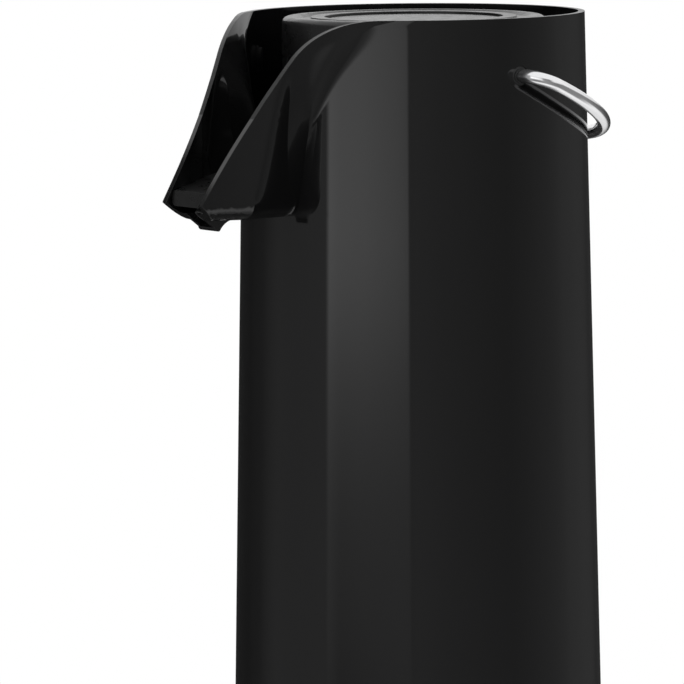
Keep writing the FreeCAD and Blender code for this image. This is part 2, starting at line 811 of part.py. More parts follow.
def make_head_case():
    """The housing, its base with the neck plug, and the bezel that guides the button."""
    opening = "guide_radius + sleeve_wall + fit_gap"
    dish = "head_radius - head_edge - dish_rim"
    housing = new_body("head_housing", FRONT)
    revolve(housing, "Revolution", "turn", [
        ("head_bore", "head_bottom"),
        ("head_radius", "head_bottom"),
        ("head_radius", "head_top - head_edge", ("arc", "head_edge", "left")),
        ("head_radius - head_edge", "head_top"),
        (dish, "head_top"),
        (dish + " - dish_run", "band_z"),
        (opening, "band_z"),
        (opening, "band_z - head_wall"),
        ("head_bore", "band_z - head_wall"),
        ("head_bore", "plate_top + plate_ledge"),
        ("head_bore - plate_ledge", "plate_top + plate_ledge"),
        ("head_bore - plate_ledge", "plate_top"),
        ("head_bore", "plate_top"),
    ])
    front_hole(housing, "port", "head_radius - head_wall / 2", "elbow_radius", "4 * head_wall")

    base = new_body("head_base", FRONT)
    disc_top = "head_bottom + base_disc"
    revolve(base, "Revolution", "turn", [
        ("riser_radius", "plug_bottom"),
        ("plug_radius", "plug_bottom"),
        ("plug_radius", "head_bottom"),
        ("base_radius", "head_bottom"),
        ("base_radius", "plate_under"),
        ("base_radius - base_rim", "plate_under"),
        ("base_radius - base_rim", disc_top),
        ("plug_radius - plug_wall", disc_top),
        ("plug_radius - plug_wall", "plug_bottom + plug_wall"),
        ("riser_radius", "plug_bottom + plug_wall"),
    ])
    front_hole(base, "port", "base_radius - base_rim / 2", "elbow_radius", "4 * base_rim")
    holes = (("air_holes", "air_hole_circle", "plug_bottom", "air_hole_radius", "4 * plug_wall"),
             ("screw_holes", "post_circle", "head_bottom", "screw_radius", "4 * base_disc"),
             ("screw_seats", "post_circle", "head_bottom", "screw_head_radius", "2 * screw_head_height"))
    for name, circle, height, radius, depth in holes:
        spots = new_sketch(base, name + "_spots", "XY", height)
        for x, y in around(circle):
            draw_circle(spots, x, y, radius)
        through(base, "Pocket", name, spots, depth)

    top = "band_z + bezel_height"
    sleeve = "guide_radius + sleeve_wall"
    turned("head_bezel", [
        ("guide_radius", "head_top - sleeve_depth"),
        (sleeve, "head_top - sleeve_depth"),
        (sleeve, "band_z"),
        ("bezel_radius", "band_z"),
        ("bezel_radius", top + " - bezel_edge", ("arc", "bezel_edge", "left")),
        ("bezel_radius - bezel_edge", top),
        ("guide_radius + bezel_edge", top, ("arc", "bezel_edge", "left")),
        ("guide_radius", top + " - bezel_edge"),
    ])
    tip = "neck_bore_radius - seal_clearance"
    root = "(plug_radius + neck_bore_radius) / 2"
    turned("neck_seal", [
        ("plug_radius", "lip_under - seal_height"),
        (tip, "lip_under - seal_height + seal_lip"),
        (root, "lip_under - seal_height / 2"),
        (tip, "lip_under - seal_lip"),
        ("plug_radius", "lip_under"),
    ])


def make_outlet():
    """The riser from the liner's bottom and the elbow that leads it out through the head's wall."""
    foot = "inner_bottom + glass_wall + riser_foot_gap"
    turned("riser_tube", [
        ("riser_radius - riser_wall", foot),
        ("riser_radius", foot),
        ("riser_radius", "head_bottom"),
        ("riser_radius - riser_wall", "head_bottom"),
    ])
    elbow = new_body("outlet_elbow", FRONT)
    path = [
        ("0", "head_bottom"),
        ("0", "port_z - elbow_bend", ("arc", "elbow_bend", "right")),
        ("elbow_bend", "port_z"),
        ("head_radius - elbow_inset", "port_z"),
    ]
    end = ("XY", "head_bottom", "0", "0")
    pipe(elbow, "tube", "XZ", path, end, "elbow_radius", "riser_radius - riser_wall")


def make_pump_plate():
    """The plate under the bellows, on posts that screws hold to the head's base, with its air valve."""
    plate = turned("pump_plate", [
        ("0", "plate_under"),
        ("base_radius", "plate_under"),
        ("base_radius", "plate_top"),
        ("0", "plate_top"),
    ], FRONT)
    posts = new_sketch(plate, "post_spots", "XY", "plate_under")
    for x, y in around("post_circle"):
        draw_circle(posts, x, y, "post_radius")
    legs = feature(plate, "Pad", "posts", posts)
    legs.Reversed = True
    bind_to(legs, "Length", "plate_under - head_bottom - base_disc")
    doc.recompute()
    bores = new_sketch(plate, "bore_spots", "XY", "head_bottom + base_disc")
    for x, y in around("post_circle"):
        draw_circle(bores, x, y, "screw_radius")
    through(plate, "Pocket", "screw_bores", bores, "2 * screw_length")
    valve_hole = new_sketch(plate, "valve_spot", "XY", "plate_under")
    draw_circle(valve_hole, "-valve_offset", "0", "valve_stem_radius")
    through(plate, "Pocket", "valve_hole", valve_hole, "4 * plate_thickness")

    valve = turned("air_valve", [
        ("0", "plate_under - valve_thickness"),
        ("valve_radius", "plate_under - valve_thickness"),
        ("valve_radius", "plate_under"),
        ("valve_stem_radius", "plate_under"),
        ("valve_stem_radius", "plate_top"),
        ("valve_stem_radius + valve_thickness", "plate_top"),
        ("0", "plate_top + valve_stem_radius"),
    ])
    bind_to(valve, "Placement.Base.y", "valve_offset")

    screws = new_body("head_screws", FRONT)
    for name, radius, length in (("heads", "screw_head_radius", "screw_head_height"),
                                 ("shanks", "screw_radius", "screw_length")):
        spots = new_sketch(screws, name + "_spots", "XY", "head_bottom")
        for x, y in around("post_circle"):
            draw_circle(spots, x, y, radius)
        bind_to(feature(screws, "Pad", name, spots), "Length", length)
        doc.recompute()


def make_bellows():
    """The bellows between the pump plate and the button, and the spring inside it."""
    valley = "bellows_radius - bellows_fold"
    low = "plate_top + bellows_collar"
    skin = [(valley, "plate_top"), (valley, low)]
    for fold in range(round(value("bellows_folds"))):
        skin.append(("bellows_radius", "%s + fold_pitch * %g" % (low, fold + 0.5)))
        skin.append((valley, "%s + fold_pitch * %d" % (low, fold + 1)))
    skin.append((valley, "pressure_under"))
    lining = [(radius + " - bellows_wall", height) for radius, height in reversed(skin)]
    turned("bellows", skin + lining)

    wire = value("spring_wire") / 2
    low = value("plate_top + spring_gap") + wire
    high = value("pressure_under - spring_gap") - wire
    spine = coil_wire(value("spring_radius"), low, high, value("spring_turns"))
    start = spine.Edges[0]
    section = Part.Circle(start.firstVertex().Point, start.tangentAt(start.FirstParameter), wire)
    spring = doc.addObject("Part::Feature", "return_spring")
    spring.Shape = spine.makePipeShell([Part.Wire(section.toShape())], True, False)
    spots = spine.discretize(Number=round(value("spring_turns") * POINTS_PER_TURN))
    apart = POINTS_PER_TURN // 2
    least = min((a - b).Length for index, a in enumerate(spots) for b in spots[index + apart:])
    print("return_spring: least gap to itself %.2f mm" % (least - 2 * wire))


def coil_wire(radius, low, high, turns):
    """A coil about Z from one height to another, as two tangent arcs to each half turn."""
    rise = (high - low) / (2 * math.pi * turns)
    spots, ways = [], []
    for half_turn in range(round(2 * turns) + 1):
        angle = math.pi * half_turn
        spots.append(FreeCAD.Vector(radius * math.cos(angle), radius * math.sin(angle), low + rise * angle))
        ways.append(FreeCAD.Vector(-radius * math.sin(angle), radius * math.cos(angle), rise).normalize())
    arcs = []
    for index in range(len(spots) - 1):
        start, end = spots[index:index + 2]
        leave, arrive = ways[index:index + 2]
        chord, both = end - start, leave + arrive
        bend = 2 * (1 - leave * arrive)
        pull = (math.sqrt((chord * both) ** 2 + bend * (chord * chord)) - chord * both) / bend
        middle = (start + end + (leave - arrive) * pull) * 0.5
        arcs.append(arc_between(start, leave, middle))
        arcs.append(arc_between(end, arrive * -1, middle))
    return Part.Wire(Part.sortEdges(arcs)[0])


def arc_between(start, way, end):
    """The arc that leaves start in a direction and arrives at end."""
    chord = end - start
    along = FreeCAD.Vector(chord).normalize()
    side = (way - along * (way * along)).normalize()
    middle = (start + end) * 0.5 + side * (chord.Length / 2 * math.tan(way.getAngle(chord) / 2))
    return Part.Arc(start, middle, end).toShape()


def make_button():
    """A crowned cap with a deep skirt, on the plate that presses the bellows."""
    edge_z = "button_rim_z - button_edge"
    bore = "button_radius - button_wall"
    turned("push_button", [
        ("0", "button_top", ("arc", "button_crown", "right")),
        ("button_radius - button_edge", "button_rim_z", ("arc", "button_edge", "right")),
        ("button_radius", edge_z),
        ("button_radius", "skirt_bottom"),
        (bore, "skirt_bottom"),
        (bore, edge_z + " - button_wall"),
        ("0", edge_z + " - button_wall"),
    ])
    turned("pressure_plate", [
        ("0", "pressure_under"),
        ("button_radius - pressure_plate_inset", "pressure_under"),
        ("button_radius - pressure_plate_inset", "skirt_bottom"),
        (bore + " - fit_gap", "skirt_bottom"),
        (bore + " - fit_gap", "skirt_bottom + pressure_plate_thickness"),
        (bore + " - fit_gap - button_wall", "skirt_bottom + pressure_plate_thickness"),
        (bore + " - fit_gap - button_wall", "skirt_bottom"),
        ("0", "skirt_bottom"),
    ])


def make_bail():
    """A bent round bar that swings in bushes in the shell, with a stop on each end."""
    bail = new_body("bail_handle", FreeCAD.Rotation(FreeCAD.Vector(-1, 0, 0), value("bail_droop")))
    path = [
        ("bail_end", "0"),
        ("bail_leg", "0", ("arc", "bail_bend", "left")),
        ("bail_turn_x", "bail_turn_y", ("arc", "bail_radius", "left")),
        ("-bail_turn_x", "bail_turn_y", ("arc", "bail_bend", "left")),
        ("-bail_leg", "0"),
        ("-bail_end", "0"),
    ]
    pipe(bail, "bar", "XY", path, ("YZ", "bail_end", "0", "0"), "wire_radius")
    bind_to(bail, "Placement.Rotation.Angle", "bail_droop")
    bind_to(bail, "Placement.Base.z", "pivot_z")
    for side, turn in (("right", 90), ("left", -90)):
        rotation = FreeCAD.Rotation(FreeCAD.Vector(0, 1, 0), turn)
        flange_out = "flange_in + bush_flange_thickness"
        bush = turned("bail_bush_" + side, [
            ("bush_bore", "flange_in"),
            ("bush_radius + bush_flange", "flange_in"),
            ("bush_radius + bush_flange", flange_out),
            ("bush_radius", flange_out),
            ("bush_radius", "pivot_outer - bush_recess"),
            ("bush_bore", "pivot_outer - bush_recess"),
        ], rotation)
        stop = turned("bail_stop_" + side, [
            ("0", "stop_in"),
            ("wire_radius + stop_wall", "stop_in"),
            ("wire_radius + stop_wall", "stop_out"),
            ("wire_radius", "stop_out"),
            ("wire_radius", "bail_end"),
            ("0", "bail_end"),
        ], rotation)
        for item in (bush, stop):
            bind_to(item, "Placement.Base.z", "pivot_z")


def export_parts():
    """Checks every object, then writes each piece under its label."""
    doc.recompute()
    failed = [item.Label for item in doc.Objects if {"Invalid", "Error"} & set(item.State)]
    if failed:
        raise RuntimeError("failed objects: " + ", ".join(failed))
    booleans = doc.findObjects("Part::Boolean")
    inputs = {item.Name for boolean in booleans for item in (boolean.Base, boolean.Tool)}
    made = doc.findObjects("PartDesign::Body") + booleans + [doc.getObject("return_spring")]
    pieces = [item for item in made if item.Name not in inputs]
    for piece in pieces:
        if piece.Shape.isNull() or not piece.Shape.isValid() or not piece.Shape.Solids:
            raise RuntimeError("bad shape: " + piece.Label)
    os.makedirs("parts", exist_ok=True)
    for piece in pieces:
        piece.Shape.exportStep("parts/%s.step" % piece.Label)


layout = make_sheets()
make_shell()
make_deck()
make_duct()
make_liner()
make_base()
make_head_case()
make_outlet()
make_pump_plate()
make_bellows()
make_button()
make_bail()
export_parts()
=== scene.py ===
import json
import math

import bmesh
import bpy
import numpy as np
from mathutils import Matrix, Vector


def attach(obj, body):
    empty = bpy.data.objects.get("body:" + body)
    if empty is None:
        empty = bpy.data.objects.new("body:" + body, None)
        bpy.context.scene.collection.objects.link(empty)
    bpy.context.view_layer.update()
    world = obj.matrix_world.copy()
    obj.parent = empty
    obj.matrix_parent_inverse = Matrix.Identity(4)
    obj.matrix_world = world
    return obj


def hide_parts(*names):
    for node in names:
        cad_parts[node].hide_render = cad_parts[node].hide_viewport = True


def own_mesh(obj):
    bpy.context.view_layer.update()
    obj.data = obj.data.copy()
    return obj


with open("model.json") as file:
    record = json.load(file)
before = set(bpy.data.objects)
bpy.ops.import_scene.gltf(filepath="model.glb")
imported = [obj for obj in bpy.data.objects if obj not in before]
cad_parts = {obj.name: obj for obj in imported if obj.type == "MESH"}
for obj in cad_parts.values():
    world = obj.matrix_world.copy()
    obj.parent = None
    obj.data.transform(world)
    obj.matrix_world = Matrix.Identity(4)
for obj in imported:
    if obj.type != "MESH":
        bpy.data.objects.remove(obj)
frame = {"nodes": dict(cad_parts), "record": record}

MM = 0.001
NODES = frame["nodes"]
SLOTS = {part["node"]: part["material_slot"] for part in frame["record"]["subparts"]}
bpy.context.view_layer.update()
WHITE = (1.0, 1.0, 1.0, 1.0)

# camera, fitted to the photograph's circles and edges, in metres
CAMERA_AZIMUTH = math.radians(53.61)
CAMERA_ELEVATION = math.radians(6.52)
CAMERA_ROLL = math.radians(-0.46)
CAMERA_DISTANCE = 2.4
CAMERA_SIDE = -0.03353
CAMERA_HEIGHT = 0.21036
FOCAL_PIXELS = 5287
IMAGE_PIXELS = 684
SENSOR_WIDTH = 36.0

# finishes
NOISE_LOW = 0.3
NOISE_HIGH = 0.7


def grey(level, tint=0.0):
    """A grey colour, a little bluer where tint is above zero."""
    return (level, level, level * (1 + tint), 1.0)


class Paint:
    """A material in the making: one Principled shader with textures in the row frame's metres."""

    def __init__(self, name, **settings):
        self.material = bpy.data.materials.new(name)
        self.material.use_nodes = True
        self.tree = self.material.node_tree
        self.shader = self.tree.nodes["Principled BSDF"]
        self.place = self.tree.nodes.new("ShaderNodeTexCoord").outputs["Object"]
        for socket, value in settings.items():
            self.shader.inputs[socket.replace("_", " ")].default_value = value

    def node(self, kind, **inputs):
        """A node with its inputs linked or set."""
        made = self.tree.nodes.new("ShaderNode" + kind)
        for name, value in inputs.items():
            self.feed(made.inputs[name.replace("_", " ")], value)
        return made

    def feed(self, socket, value):
        if isinstance(value, bpy.types.NodeSocket):
            self.tree.links.new(value, socket)
        else:
            socket.default_value = value

    def noise(self, size, stretch=(1, 1, 1), detail=3.0):
        """A noise whose lumps measure about size metres, drawn out along an axis where stretch is above 1."""
        scale = tuple(1 / part for part in stretch)
        spot = self.node("Mapping", Vector=self.place, Scale=scale).outputs["Vector"]
        return self.node("TexNoise", Vector=spot, Scale=1 / size, Detail=detail).outputs["Fac"]

    def spread(self, texture, low, high):
        """A noise's usual levels, turned into values from low to high."""
        ends = {"From_Min": NOISE_LOW, "From_Max": NOISE_HIGH, "To_Min": low, "To_Max": high}
        return self.node("MapRange", Value=texture, **ends).outputs["Result"]

    def tint(self, texture, dark, light):
        """Base colour between two colours."""
        mix = self.tree.nodes.new("ShaderNodeMix")
        mix.data_type = "RGBA"
        self.feed(mix.inputs["Factor"], self.spread(texture, 0, 1))
        colours = [socket for socket in mix.inputs if socket.type == "RGBA"]
        for socket, colour in zip(colours, (dark, light)):
            socket.default_value = colour
        result = [socket for socket in mix.outputs if socket.type == "RGBA"]
        self.feed(self.shader.inputs["Base Color"], result[0])

    def rough(self, texture, low, high):
        self.feed(self.shader.inputs["Roughness"], self.spread(texture, low, high))

    def bump(self, texture, depth):
        """Height of a texture in metres, on top of any bump before it."""
        made = self.node("Bump", Height=texture, Distance=depth, Strength=1.0)
        socket = self.shader.inputs["Normal"]
        if socket.links:
            self.feed(made.inputs["Normal"], socket.links[0].from_socket)
        self.feed(socket, made.outputs["Normal"])


def polished_plastic():
    """Moulded black, polished: a trace of flow marks, hair scratches and orange peel."""
    paint = Paint("polished_black", IOR=1.5)
    flow = paint.noise(0.05, stretch=(1, 1, 5))
    paint.tint(flow, grey(0.0042), grey(0.0062, 0.04))
    paint.rough(paint.noise(0.004, stretch=(1, 1, 14), detail=6), 0.035, 0.075)
    paint.bump(paint.noise(0.011), 4e-6)
    paint.bump(paint.noise(0.0007, stretch=(1, 1, 30)), 2.5e-7)
    return paint.material


def satin_plastic():
    """Moulded black with a fine spark-eroded grain."""
    paint = Paint("satin_black", IOR=1.5)
    paint.tint(paint.noise(0.03), grey(0.0055), grey(0.009, 0.03))
    paint.rough(paint.noise(0.006, detail=5), 0.24, 0.36)
    paint.bump(paint.noise(0.0006, detail=4), 8e-6)
    return paint.material


def matt_plastic():
    """Dark inner mouldings with a matt grain and faint flow lines."""
    paint = Paint("matt_inner_plastic", IOR=1.5)
    paint.tint(paint.noise(0.02, stretch=(1, 1, 4)), grey(0.012), grey(0.022, 0.04))
    paint.rough(paint.noise(0.005), 0.42, 0.58)
    paint.bump(paint.noise(0.0005, detail=4), 1.2e-5)
    return paint.material


def rubber():
    """Black rubber: powdery bloom over a fine grain."""
    paint = Paint("black_rubber", IOR=1.45, Sheen_Weight=0.08, Sheen_Roughness=0.5)
    paint.tint(paint.noise(0.009, detail=6), grey(0.013), grey(0.03))
    paint.rough(paint.noise(0.003), 0.62, 0.82)
    paint.bump(paint.noise(0.0004, detail=4), 2e-5)
    return paint.material


def chrome():
    """Plated bar with a soft polish, faint polishing lines along it and a few dull spots."""
    paint = Paint("polished_chrome", Metallic=1.0)
    paint.tint(paint.noise(0.02), grey(0.80, 0.015), grey(0.88, 0.01))
    paint.rough(paint.noise(0.0012, stretch=(16, 4, 4), detail=5), 0.12, 0.2)
    paint.bump(paint.noise(0.0005, stretch=(24, 3, 3)), 6e-7)
    return paint.material


def silvered_glass():
    """Thin blown glass with silver behind it, a little uneven."""
    paint = Paint("silvered_glass", Metallic=1.0, Coat_Weight=1.0, Coat_Roughness=0.02)
    paint.tint(paint.noise(0.03, detail=5), (0.62, 0.63, 0.62, 1.0), (0.83, 0.85, 0.86, 1.0))
    paint.rough(paint.noise(0.015), 0.03, 0.12)
    paint.bump(paint.noise(0.02), 6e-5)
    return paint.material


def drawn_steel():
    """Drawn or turned steel with fine lines round it."""
    paint = Paint("drawn_steel", Metallic=1.0)
    paint.tint(paint.noise(0.004), grey(0.42), grey(0.56, 0.02))
    paint.rough(paint.noise(0.0008, stretch=(6, 6, 1), detail=5), 0.2, 0.36)
    paint.bump(paint.noise(0.0003, stretch=(8, 8, 1)), 2e-6)
    return paint.material


FINISHES = {
    "shell": polished_plastic(),
    "deck": satin_plastic(),
    "bail": chrome(),
    "glass": silvered_glass(),
    "inner_plastic": matt_plastic(),
    "rubber": rubber(),
    "steel": drawn_steel(),
}
FINISHES["head"] = FINISHES["deck"]

# joined facets and softened edges, in millimetres and degrees
WELD_DISTANCE = 0.005
FLAT_ANGLE = 0.2
EDGE_ANGLE = 28
EDGE_SEGMENTS = 2
EDGE_RADIUS = 0.25
EDGE_RADII = {"head_housing": 0.3, "bail_handle": 0.4, "foot_ring": 0.0}


def soften_edges(piece, radius):
    edge = piece.modifiers.new("edges", "BEVEL")
    edge.width = radius * MM
    edge.segments = EDGE_SEGMENTS
    edge.limit_method = "ANGLE"
    edge.angle_limit = math.radians(EDGE_ANGLE)
    piece.modifiers.new("normals", "WEIGHTED_NORMAL").keep_sharp = True


def finish_node(node):
    """A CAD node in its slot's finish, with its facets joined and its moulded edges softened."""
    piece = NODES[node]
    piece.data.materials.clear()
    piece.data.materials.append(FINISHES[SLOTS[node]])
    weld = piece.modifiers.new("weld", "WELD")
    weld.merge_threshold = WELD_DISTANCE * MM
    flat = piece.modifiers.new("flat_faces", "DECIMATE")
    flat.decimate_type = "DISSOLVE"
    flat.angle_limit = math.radians(FLAT_ANGLE)
    soften_edges(piece, EDGE_RADII.get(node, EDGE_RADIUS))


def new_object(name, mesh):
    data = bpy.data.meshes.new(name)
    mesh.to_mesh(data)
    mesh.free()
    made = bpy.data.objects.new(name, data)
    bpy.context.scene.collection.objects.link(made)
    return made


def new_piece(name, mesh, slot, body):
    """A piece of the object from a finished bmesh, in its slot's finish and on its body."""
    piece = new_object(name, mesh)
    piece.data.materials.append(FINISHES[slot])
    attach(piece, body)
    return piece


def solid_mesh(node):
    """A CAD node's facets in the row frame."""
    mesh = bmesh.new()
    mesh.from_mesh(NODES[node].data)
    mesh.transform(NODES[node].matrix_world)
    return mesh


def join_facets(mesh):
    bmesh.ops.remove_doubles(mesh, verts=mesh.verts, dist=WELD_DISTANCE * MM)


# the shell, in millimetres, and in degrees round from the beak
FOOT_RADIUS = 84.6
BODY_HEIGHT = 360.0
TAPER = 7.6 / 360
SHELL_LOW = 2.0
SHELL_WALL = 2.8
SPOUT_WALL = 3.0
PIVOT_HEIGHT = 334.5
PIVOT_RADIUS = 4.4

# the beak's upper outline and its side view; the tip is reach, half width and height
FLARE_ANGLE = 47.8
FLARE_PULL = 57.9
TIP = (128.2, 15.3, 280.3)
TIP_PULL = 16.7
TIP_TOE = 7.0
SLOPE = math.tan(math.radians(57))
CREST_RADIUS = 36.0
CREST_START = 56.89
CREST_END = 87.08
UNDERSIDE = 272.8
KEEL_RADIUS = 9.0
FLARE_POINTS = 400
INNER_REACH = 20
INNER_POINTS = 30

# the modelled wall hands over to the solid's own tip at the cut, and behind that its lower part leans in
TIP_CUT = 104.0
LEAN_END = 90.0
ROOT_HALF = 8.0
FLARE_POWER = 1.15
# the least degrees that the wall turns for each millimetre back from the cut, and what height adds to them
LEAST_TURN = 0.03
TURN_GAIN = 0.005
TURN_SPAN = 40
# the soft corner between wall and cone
BLEND = 6.0
BLEND_LOW = 300.0
BLEND_RISE = 25
BLEND_FADE = 20

# columns and rows of vertices
SIDE_ANGLE = 60
WALL_COLUMNS = 50
REST_COLUMNS = 70
BACK_ANGLES = np.concatenate(
    (np.arange(SIDE_ANGLE, 85, 3), np.arange(85, 95, 0.5), np.arange(95, 180, 2.5), [180]))
BODY_ROWS = 13
BODY_STEP = 20
NECK_STEP = 2.5
NECK_END = UNDERSIDE - 3
STEP_BELOW = 0.01
WALL_STEP = 1.2
SHEET_SPLIT = 300.0
RIM_STEP = 2.0
HOLE_STEP = 0.7
HOLE_SPAN = 7
HOLE_PULL = 0.45
CHANNEL_LOW = 284.0
SETTLE_STEPS = 4

# evening out: the columns next to the corner with the cone stay, and the inside goes on past it
SMOOTH_STEPS = 12
SMOOTH_SHARE = 0.5
CORNER_COLUMNS = 3
INSIDE_COLUMNS = 30
SHARP = math.radians(14)
TIP_EDGE = 0.45


def cone_radius(height):
    return FOOT_RADIUS - TAPER * height


def eased(value):
    value = np.clip(value, 0.0, 1.0)
    return value * value * (3 - 2 * value)


def flare_table():
    """Reach and half width of the beak's upper outline, from inside the rim to the tip."""
    turn, toe = math.radians(FLARE_ANGLE), math.radians(TIP_TOE)
    share = np.linspace(0, 1, FLARE_POINTS)
    rest = 1 - share
    rim = cone_radius(BODY_HEIGHT - (BODY_HEIGHT - TIP[2]) * share)
    start = np.array((np.cos(turn) * rim, np.sin(turn) * rim))
    first = start + FLARE_PULL * np.array([[math.sin(turn)], [-math.cos(turn)]])
    end = np.array([[TIP[0]], [TIP[1]]])
    second = end + TIP_PULL * np.array([[-math.cos(toe)], [math.sin(toe)]])
    curve = start * rest ** 3 + first * 3 * share * rest ** 2
    curve = curve + second * 3 * share ** 2 * rest + end * share ** 3
    inside = np.linspace(INNER_REACH, curve[0][0] - 1, INNER_POINTS)
    return (
        np.concatenate((inside, curve[0])),
        np.concatenate((np.sqrt(cone_radius(BODY_HEIGHT) ** 2 - inside ** 2), curve[1])),
    )


def side_height(reach):
    """Height of the side view's upper edge at a reach from the axis."""
    if reach <= CREST_START:
        return BODY_HEIGHT
    if reach <= CREST_END:
        return BODY_HEIGHT - CREST_RADIUS + math.sqrt(CREST_RADIUS ** 2 - (reach - CREST_START) ** 2)
    return TIP[2] + (TIP[0] - reach) * SLOPE


FLARE = flare_table()
TALL = np.array([side_height(reach) for reach in FLARE[0]]) - UNDERSIDE


def wall_half(height, inset):
    """Reach and half width of the beak's wall at a height: upright at the tip, leaning in behind it."""
    reach, top = FLARE
    lean = eased((TIP_CUT - reach) / (TIP_CUT - LEAN_END))
    rise = KEEL_RADIUS + (TALL - KEEL_RADIUS) * lean
    share = np.clip((height - UNDERSIDE) / rise, 0.0, 1.0)
    out = np.sqrt(1 - (1 - share) ** 2) * (1 - lean) + share ** FLARE_POWER * lean
    low = (top - KEEL_RADIUS) * (1 - lean) + ROOT_HALF * lean
    return reach, low + (top - low) * out - inset


def outline(height, inset_cone, inset_wall):
    """One side at a height, from the cut to the back: the columns' angles, and the radius at an angle."""
    cone = cone_radius(height) - inset_cone
    reach, half = wall_half(max(height, UNDERSIDE), inset_wall)
    first = math.degrees(math.atan2(float(np.interp(TIP_CUT, reach, half)), TIP_CUT))
    gain = LEAST_TURN + TURN_GAIN * max(0.0, height - UNDERSIDE - KEEL_RADIUS)
    least = np.radians(first + gain * np.clip(TIP_CUT - reach, 0, TURN_SPAN))
    half = np.where(reach < TIP_CUT, np.maximum(half, reach * np.tan(least)), half)
    turn = np.maximum.accumulate(np.degrees(np.arctan2(half, reach))[::-1])
    reach = reach[::-1]
    wall = reach / np.cos(np.radians(turn))
    root = int(np.argmax((wall < cone) & (reach < TIP_CUT)))
    if turn[root] > FLARE_ANGLE:
        root = int(np.argmax(turn > FLARE_ANGLE))
    rest = np.linspace(turn[root], SIDE_ANGLE, REST_COLUMNS, endpoint=False)
    if height < UNDERSIDE:
        near = np.linspace(0, turn[root], WALL_COLUMNS, endpoint=False)
        return np.concatenate((near, rest, BACK_ANGLES)), lambda angle: cone
    steps = np.linspace(TIP_CUT, reach[root], WALL_COLUMNS, endpoint=False)
    near = np.interp(-steps, -reach, turn)
    soft = float(eased((height - BLEND_LOW) / BLEND_RISE))

    def radius_at(angle):
        if angle >= FLARE_ANGLE:
            return cone
        far = float(np.interp(angle, turn, wall))
        close = max(BLEND - abs(far - cone), 0.0) / BLEND
        fade = float(eased((FLARE_ANGLE - angle) / BLEND_FADE))
        return max(far, cone) + close * close * BLEND / 4 * soft * fade

    return np.concatenate((near, rest, BACK_ANGLES)), radius_at


def upper_edge(angle, inset_cone, inset_wall):
    """Height of the side view's upper edge where one face of the wall meets it at an angle."""
    reach, top = FLARE
    turn = np.degrees(np.arctan2(top - inset_wall, reach))
    wall = float(np.interp(angle, turn[::-1], reach[::-1]))
    cone = (cone_radius(BODY_HEIGHT) - inset_cone) * math.cos(math.radians(angle))
    return side_height(max(wall, cone) if angle < FLARE_ANGLE else cone)


def shell_rows():
    """Heights of the rows: wide apart on the body, close in the beak and round the bail's hole."""
    rows = [SHELL_LOW + BODY_STEP * index for index in range(BODY_ROWS)]
    while rows[-1] < NECK_END:
        rows.append(rows[-1] + NECK_STEP)
    rows += [UNDERSIDE - STEP_BELOW, UNDERSIDE]
    while rows[-1] < SHEET_SPLIT:
        rows.append(rows[-1] + WALL_STEP)
    while rows[-1] < BODY_HEIGHT - 1:
        near_hole = abs(rows[-1] - PIVOT_HEIGHT) < HOLE_SPAN
        rows.append(rows[-1] + (HOLE_STEP if near_hole else RIM_STEP))
    return rows[:-1] + [BODY_HEIGHT]


def round_hole(spot):
    """Draws points near the edge of the bail's hole on to it."""
    off = Vector((spot.y, spot.z - PIVOT_HEIGHT))
    if abs(off.length - PIVOT_RADIUS) < HOLE_PULL:
        off *= PIVOT_RADIUS / off.length
    return Vector((spot.x, off.x, off.y + PIVOT_HEIGHT))


def in_hole(corners):
    middle = sum((corner.co for corner in corners), Vector()) / len(corners)
    return math.hypot(middle.y, middle.z - PIVOT_HEIGHT * MM) < PIVOT_RADIUS * MM


def shell_sheet(mesh, side, rows, inset_cone, inset_wall):
    """Columns of vertices up one face of the shell, each ending on the side view's upper edge."""
    columns = None
    for height in rows:
        angles, radius_at = outline(height, inset_cone, inset_wall)
        if columns is None:
            columns = [[] for angle in angles]
        for index, column in enumerate(columns):
            level, angle = height, angles[index]
            radius = radius_at(angle)
            if height > SHEET_SPLIT and angle < SIDE_ANGLE:
                share = (height - SHEET_SPLIT) / (BODY_HEIGHT - SHEET_SPLIT)
                for step in range(SETTLE_STEPS):
                    level = SHEET_SPLIT + (upper_edge(angle, inset_cone, inset_wall) - SHEET_SPLIT) * share
                    angles_there, radius_there = outline(level, inset_cone, inset_wall)
                    angle = (angle + angles_there[index]) / 2
                radius = radius_there(angle)
            turn = math.radians(angle) * side
            spot = Vector((radius * math.sin(turn), -radius * math.cos(turn), level))
            column.append(mesh.verts.new(round_hole(spot) * MM))
    return columns


def weave(mesh, columns, flip):
    """Smooth faces between neighbouring columns, apart from those in the bail's hole."""
    for before, after in zip(columns, columns[1:]):
        for corners in zip(before, after, after[1:], before[1:]):
            if not in_hole(corners):
                mesh.faces.new(reversed(corners) if flip else corners).smooth = True


